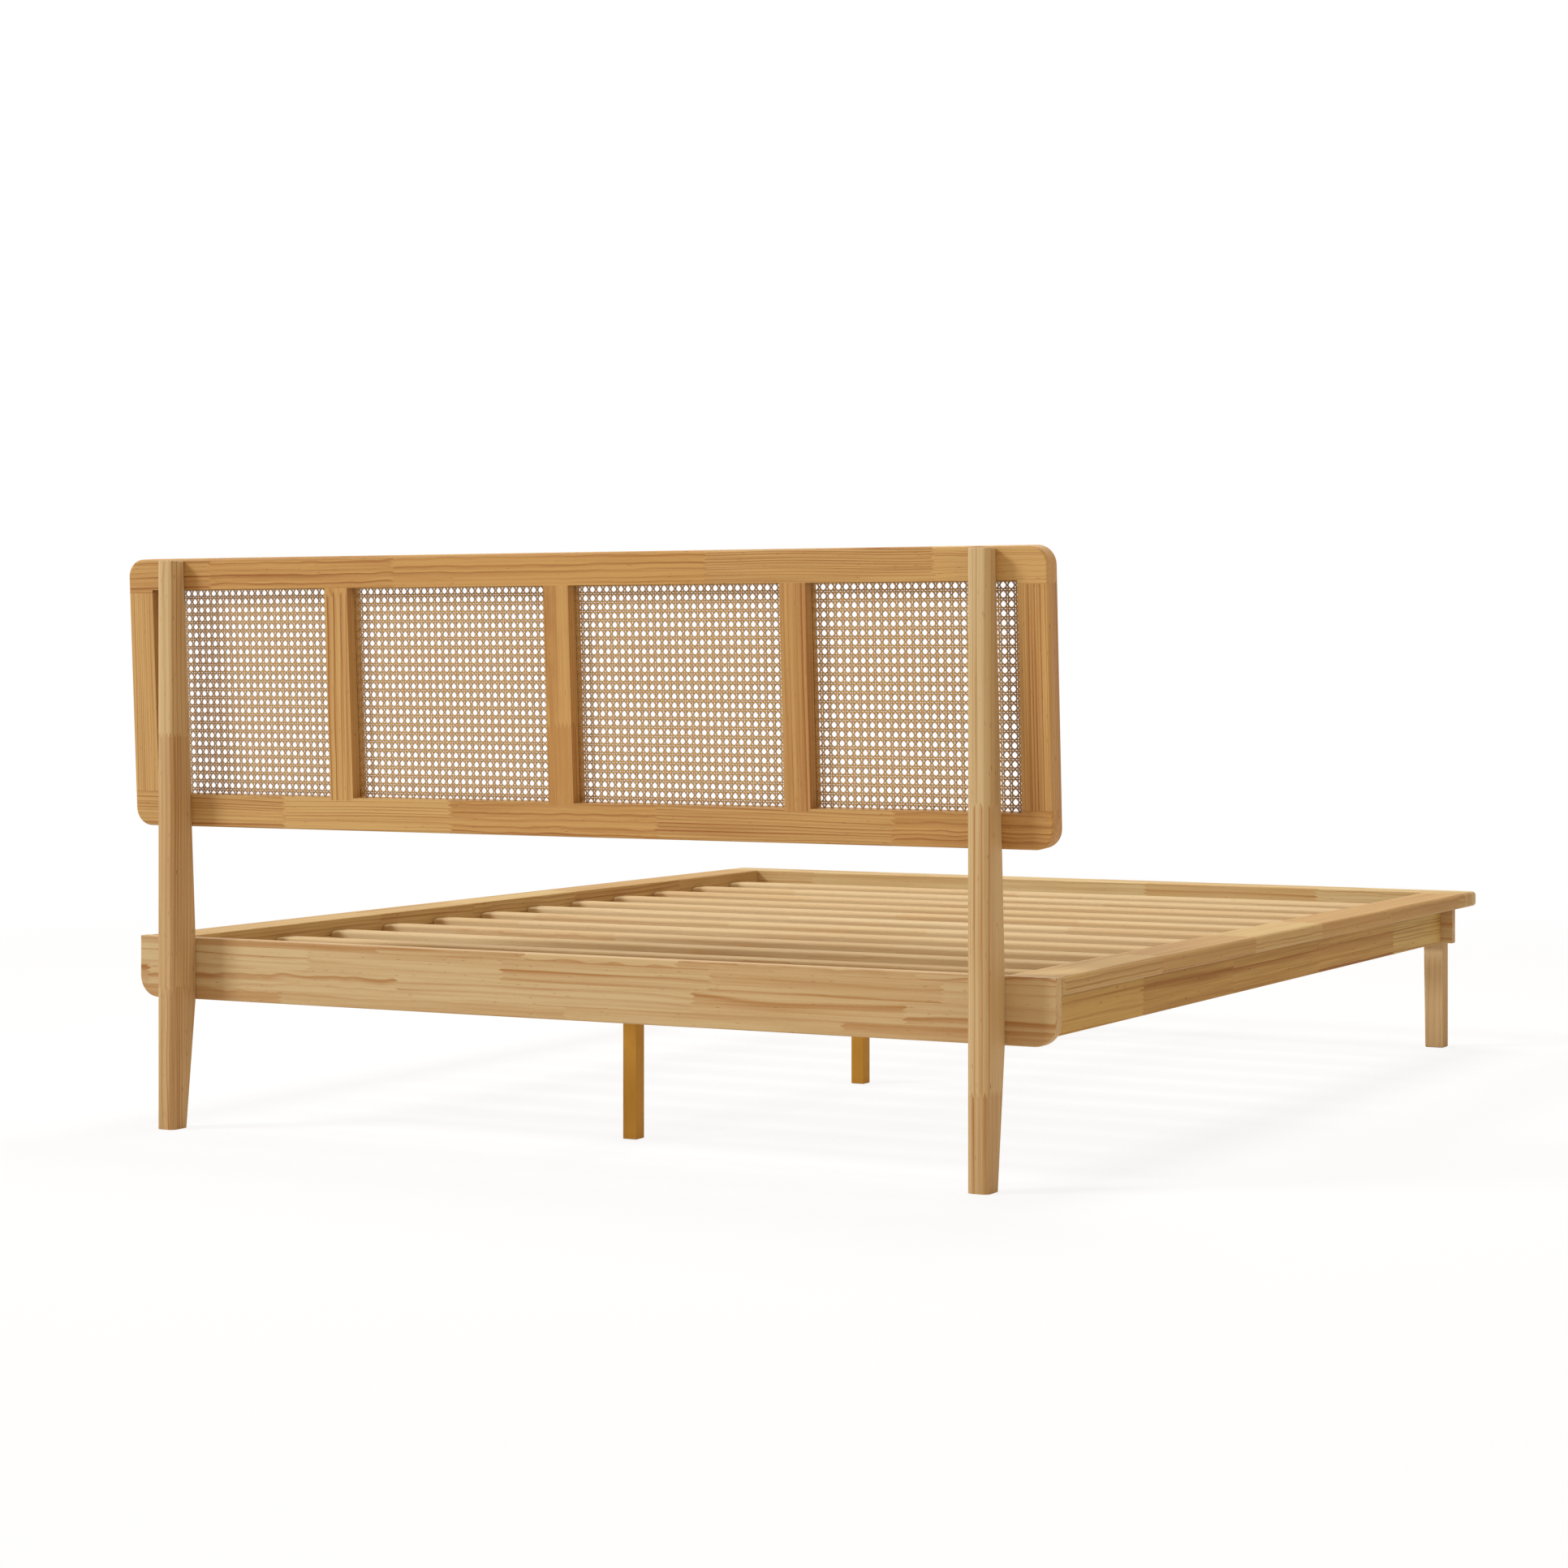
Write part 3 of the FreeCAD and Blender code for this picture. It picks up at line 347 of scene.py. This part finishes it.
def plain_metal(name, colour, roughness):
    """A plated metal, slightly uneven in tone."""
    shader = Shader(bpy.data.materials.new(name))
    darker = tuple(channel * METAL_DARKER_SHARE for channel in colour[:3]) + (1.0,)
    mottled = shader.mix(shader.mottle(METAL_MOTTLE_SCALE), colour, darker)
    shader.surface(mottled, roughness, metallic=1.0)
    return shader.owner


def cane_material():
    """Cane strands: pale on the back of each strand, with shade painted in brown along its edges.
    """
    shader = Shader(bpy.data.materials.new("cane"))
    edge = shader.node("ShaderNodeAttribute", attribute_name="edge").outputs["Fac"]
    pale = shader.mix(shader.mottle(CANE_MOTTLE_SCALE), CANE_LIGHT, CANE_WARM)
    # Painted shade: each strand darkens to brown towards its side edges
    colour = shader.mix(shader.math("POWER", edge, CANE_SHADE_POWER), pale, CANE_PAINTED_SHADE)
    shader.surface(colour, CANE_ROUGHNESS, gloss=CANE_GLOSS)
    return shader.owner


# Wood tones: two ground colours, the late wood's colour, its contrast, roughness and gloss.

def tone(light, warm, dark, contrast, roughness, gloss):
    return Wood(screen_colour(*light), screen_colour(*warm), screen_colour(*dark),
                contrast, roughness, gloss)


GOLDEN = tone((194, 155, 98), (189, 144, 84), (142, 84, 34), 1.35, 0.5, 0.22)
TURNED = tone((192, 163, 111), (187, 151, 97), (146, 96, 48), 1.1, 0.6, 0.15)
HONEY = tone((196, 170, 127), (193, 162, 118), (158, 106, 52), 1.3, 0.55, 0.2)
AMBER = tone((199, 172, 110), (194, 158, 95), (149, 98, 40), 1.6, 0.6, 0.15)
PALE = tone((198, 175, 132), (193, 164, 117), (162, 116, 63), 1.2, 0.6, 0.12)
BARE = tone((198, 174, 137), (195, 168, 128), (168, 119, 70), 0.6, 0.8, 0.12)
BROWN = tone((188, 138, 52), (184, 133, 49), (160, 110, 38), 0.4, 0.6, 0.2)

# Each wooden piece: the way its grain runs, its wood, and how its lanes of staves lie.
WOODEN = {
    "headboard_top_rail": ("X", GOLDEN, None),
    "headboard_bottom_rail": ("X", GOLDEN, None),
    "headboard_left_stile": ("S", GOLDEN, None),
    "headboard_right_stile": ("S", GOLDEN, None),
    "headboard_muntin_1": ("S", GOLDEN, None),
    "headboard_muntin_2": ("S", GOLDEN, None),
    "headboard_muntin_3": ("S", GOLDEN, None),
    "upper_cane_beads": ("X", GOLDEN, None),
    "lower_cane_beads": ("X", GOLDEN, None),
    "upright_cane_beads": ("S", GOLDEN, None),
    "left_post": ("Z", HONEY, None),
    "right_post": ("Z", HONEY, None),
    "head_rail": ("X", HONEY, "upright"),
    "foot_apron": ("X", HONEY, "upright"),
    "foot_board": ("X", PALE, "flat"),
    "left_side_board": ("Y", TURNED, None),
    "right_side_board": ("Y", TURNED, None),
    "left_side_apron": ("Y", AMBER, None),
    "right_side_apron": ("Y", AMBER, None),
    "left_foot_leg": ("Z", BARE, None),
    "right_foot_leg": ("Z", BARE, None),
    "left_slat_ledge": ("Y", BARE, None),
    "right_slat_ledge": ("Y", BARE, None),
    "slat_pegs": ("Z", BARE, None),
    "centre_beam": ("Y", BROWN, None),
    "middle_leg_1": ("Z", BROWN, None),
    "middle_leg_2": ("Z", BROWN, None),
    "middle_leg_3": ("Z", BROWN, None),
}
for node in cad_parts:
    if node.startswith("slat_") and node not in WOODEN:
        WOODEN[node] = ("X", BARE, None)

STEEL = plain_metal("zinc", screen_colour(190, 192, 196), roughness=0.34)
BRASS = plain_metal("brass", screen_colour(204, 172, 96), roughness=0.3)
CANE = cane_material()


def paint(obj, material):
    obj.data.materials.clear()
    obj.data.materials.append(material)


def dress_nodes():
    for index, (node, (along, wood, lane)) in enumerate(sorted(WOODEN.items())):
        seed = FIRST_SEED + index * SEED_STEP
        paint(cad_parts[node], pine(node, along, wood, seed, lane))
    for node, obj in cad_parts.items():
        if node in WOODEN:
            continue
        if node.endswith("_sleeves"):
            paint(obj, BRASS)
        elif node.startswith("cane_panel"):
            paint(obj, CANE)
        else:
            paint(obj, STEEL)


# Woven cane

class StrandMesh:
    """Collects flat strands of cane as four-sided tubes, with pale backs and painted shade along
    their edges.
    """

    def __init__(self, origin, up):
        self.origin = origin
        self.across = Vector((1.0, 0.0, 0.0))
        self.up = up
        self.out = self.across.cross(up) * -1.0
        self.points = []
        self.faces = []
        self.edge_shade = []

    def at(self, x, s, out):
        return self.origin + self.across * x + self.up * s + self.out * out

    def add(self, path, width, thickness):
        """A strand along a path of (x, s, out), its width square to the path in the panel."""
        first = len(self.points)
        count = len(path)
        for index, (x, s, out) in enumerate(path):
            before = path[max(index - 1, 0)]
            after = path[min(index + 1, count - 1)]
            along = Vector((after[0] - before[0], after[1] - before[1]))
            along.normalize()
            side = Vector((-along.y, along.x)) * (width / 2)
            self.points += [
                self.at(x + side.x, s + side.y, out), self.at(x, s, out + thickness / 2),
                self.at(x - side.x, s - side.y, out), self.at(x, s, out - thickness / 2),
            ]
            # 1 marks the strand's two side edges, which get painted shade; 0 marks its back and
            # front
            self.edge_shade += [1.0, 0.0, 1.0, 0.0]
        for index in range(count - 1):
            near = first + index * STRAND_CORNERS
            far = near + STRAND_CORNERS
            for corner in range(STRAND_CORNERS):
                after = (corner + 1) % STRAND_CORNERS
                self.faces.append((near + corner, near + after, far + after, far + corner))
        last = first + (count - 1) * STRAND_CORNERS
        self.faces.append((first + 3, first + 2, first + 1, first))
        self.faces.append((last, last + 1, last + 2, last + 3))

    def build(self, name):
        mesh = bpy.data.meshes.new(name)
        mesh.from_pydata(self.points, [], self.faces)
        mesh.update()
        edge = mesh.attributes.new("edge", "FLOAT", "POINT")
        edge.data.foreach_set("value", self.edge_shade)
        mesh.polygons.foreach_set("use_smooth", [True] * len(mesh.polygons))
        obj = bpy.data.objects.new(name, mesh)
        bpy.context.scene.collection.objects.link(obj)
        return obj


def clipped(x0, s0, x1, s1, half_x, half_s):
    """The part of a straight strand that lies in the panel, or None."""
    low, high = 0.0, 1.0
    for start, end, half in ((x0, x1, half_x), (s0, s1, half_s)):
        run = end - start
        if abs(run) < LEAST_RUN:
            if abs(start) > half:
                return None
            continue
        near = (-half - start) / run
        far = (half - start) / run
        low = max(low, min(near, far))
        high = min(high, max(near, far))
    if high - low < LEAST_KEPT_SHARE:
        return None
    run_x, run_s = x1 - x0, s1 - s0
    return (x0 + run_x * low, s0 + run_s * low, x0 + run_x * high, s0 + run_s * high)


def woven_panel(number):
    """Open cane webbing: pairs of strands up and across, and single ones both ways aslant."""
    node = "cane_panel_" + str(number)
    low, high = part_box(node)
    up = Vector((0.0, math.sin(LEAN), math.cos(LEAN)))
    half_x = (high.x - low.x) / 2
    tilt = CANE_PANEL_THICKNESS * math.sin(LEAN)
    half_s = ((high.z - low.z) - tilt) / math.cos(LEAN) / 2
    strands = StrandMesh((low + high) / 2, up)
    top = half_s - CANE_HOLD
    columns = int(half_x / CANE_PITCH_ACROSS) + CANE_SPARE_CELLS
    rows = int(half_s * 2 / CANE_PITCH_UP) + CANE_SPARE_CELLS
    first_x = -CANE_PITCH_ACROSS / 2

    def column_at(index):
        return first_x + index * CANE_PITCH_ACROSS

    def row_at(index):
        return top - index * CANE_PITCH_UP

    def wave(position, pitch, start, shift):
        return CANE_WEAVE_RISE * math.cos(math.pi * ((position - start) / pitch + shift))

    def straight(x0, s0, x1, s1, height, width):
        ends = clipped(x0, s0, x1, s1, half_x, half_s)
        if ends is None:
            return
        x0, s0, x1, s1 = ends
        cells = max(abs(x1 - x0) / CANE_PITCH_ACROSS, abs(s1 - s0) / CANE_PITCH_UP)
        steps = max(int(cells * CANE_STEPS_PER_CELL), 2)
        path = []
        for step in range(steps + 1):
            share = step / steps
            x = x0 + (x1 - x0) * share
            s = s0 + (s1 - s0) * share
            path.append((x, s, height(x, s)))
        strands.add(path, width, CANE_STRAND_THICKNESS)

    for index in range(-columns, columns + 1):
        for pair, side in ((0, -1), (1, 1)):
            x = column_at(index) + CANE_PAIR_OFFSET * side
            shift = index + pair
            straight(x, -half_s * 2, x, half_s * 2,
                     lambda x, s, shift=shift: wave(s, CANE_PITCH_UP, top, shift),
                     CANE_STRAND_WIDTH)
    for index in range(-1, rows):
        for pair, side in ((0, -1), (1, 1)):
            s = row_at(index) + CANE_PAIR_OFFSET * side
            shift = index + pair + 1
            straight(-half_x * 2, s, half_x * 2, s,
                     lambda x, s, shift=shift: wave(x, CANE_PITCH_ACROSS, first_x, shift),
                     CANE_STRAND_WIDTH)
    reach = columns + rows + CANE_SPARE_CELLS
    run = rows + CANE_SPARE_CELLS * 2
    for slope, layer in ((1, CANE_DIAGONAL_RISE), (-1, -CANE_DIAGONAL_RISE)):
        for index in range(-reach, reach + 1):
            x = column_at(index) + CANE_PITCH_ACROSS / 2
            straight(x - slope * CANE_PITCH_ACROSS * run, top - CANE_PITCH_UP * run,
                     x + slope * CANE_PITCH_ACROSS * run, top + CANE_PITCH_UP * run,
                     lambda x, s, layer=layer: layer, CANE_DIAGONAL_WIDTH)
    panel = strands.build("woven_cane_" + str(number))
    paint(panel, CANE)
    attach(panel, "root")
    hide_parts(node)


# Studio: a white floor that keeps the bed's faint shadow, a warm world and three lamps.

Lamp = namedtuple("Lamp", "name place target size power colour")

WORLD_LEVEL = 0.45
WORLD_TINT = (1.0, 0.74, 0.45, 1.0)
FLOOR_HALF = 16.0
FLOOR_COLOUR = (0.86, 0.85, 0.83, 1.0)
FLOOR_WHITE_SHARE = 0.86
FLOOR_FADE_FROM = 2.2
FLOOR_FADE_TO = 5.0
LAMPS = (
    Lamp("key", (12.7, 10.7, 10.7), (0.0, 0.9, 0.5), 4.5, 3000.0, (0.83, 0.93, 1.0)),
    Lamp("top", (0.2, -0.8, 4.4), (0.0, 0.1, 0.3), 2.0, 148.0, (0.83, 0.92, 0.96)),
    Lamp("fill", (-5.5, 3.6, 2.0), (0.0, 0.3, 0.4), 3.0, 48.0, (1.0, 0.79, 0.54)),
)


def seen_directly(shader):
    """1 for camera, glossy and see-through rays, which show the white background as it is."""
    rays = shader.node("ShaderNodeLightPath").outputs
    seen = shader.math("MAXIMUM", rays["Is Camera Ray"], rays["Is Glossy Ray"])
    return shader.math("MAXIMUM", seen, rays["Is Transmission Ray"])


def light_world():
    shader = Shader(bpy.data.worlds.new("studio"), "ShaderNodeOutputWorld")
    bpy.context.scene.world = shader.owner
    light = shader.node("ShaderNodeBackground", {"Color": WORLD_TINT, "Strength": WORLD_LEVEL})
    white = shader.node("ShaderNodeBackground", {"Color": WHITE, "Strength": 1.0})
    shader.blend(seen_directly(shader), light.outputs[0], white.outputs[0])


def lay_floor():
    mesh = bpy.data.meshes.new("floor")
    corners = [(-FLOOR_HALF, -FLOOR_HALF, 0), (FLOOR_HALF, -FLOOR_HALF, 0),
               (FLOOR_HALF, FLOOR_HALF, 0), (-FLOOR_HALF, FLOOR_HALF, 0)]
    mesh.from_pydata(corners, [], [(0, 1, 2, 3)])
    floor = bpy.data.objects.new("floor", mesh)
    bpy.context.scene.collection.objects.link(floor)
    shader = Shader(bpy.data.materials.new("studio_floor"))
    matte = shader.node("ShaderNodeBsdfDiffuse", {"Color": FLOOR_COLOUR})
    glow = shader.node("ShaderNodeEmission", {"Color": WHITE, "Strength": 1.0})
    far = shader.node("ShaderNodeVectorMath", {0: shader.object_place()}, operation="LENGTH")
    fade = shader.node("ShaderNodeMapRange", {
        "Value": far.outputs["Value"], "From Min": FLOOR_FADE_FROM, "From Max": FLOOR_FADE_TO,
        "To Min": FLOOR_WHITE_SHARE, "To Max": 1.0}, interpolation_type="SMOOTHSTEP")
    share = shader.math("MULTIPLY", seen_directly(shader), fade.outputs["Result"])
    shader.blend(share, matte.outputs[0], glow.outputs[0])
    paint(floor, shader.owner)


def hang_lamp(lamp):
    data = bpy.data.lights.new(lamp.name, "AREA")
    data.shape = "SQUARE"
    data.size = lamp.size
    data.energy = lamp.power
    data.color = lamp.colour
    obj = bpy.data.objects.new(lamp.name, data)
    obj.location = lamp.place
    towards = Vector(lamp.target) - Vector(lamp.place)
    obj.rotation_euler = towards.to_track_quat("-Z", "Y").to_euler()
    bpy.context.scene.collection.objects.link(obj)


def place_camera():
    data = bpy.data.cameras.new("camera")
    data.lens = CAMERA_LENS
    data.sensor_width = CAMERA_SENSOR
    data.shift_y = CAMERA_DROP
    data.clip_end = CAMERA_REACH
    obj = bpy.data.objects.new("camera", data)
    obj.location = CAMERA_PLACE
    obj.rotation_euler = Euler((math.radians(CAMERA_PITCH), 0.0, math.radians(CAMERA_HEADING)))
    bpy.context.scene.collection.objects.link(obj)
    bpy.context.scene.camera = obj


dress_nodes()
for number in range(1, CANE_PANEL_COUNT + 1):
    woven_panel(number)
bpy.context.scene.view_settings.view_transform = "Standard"
light_world()
lay_floor()
for lamp in LAMPS:
    hang_lamp(lamp)
place_camera()
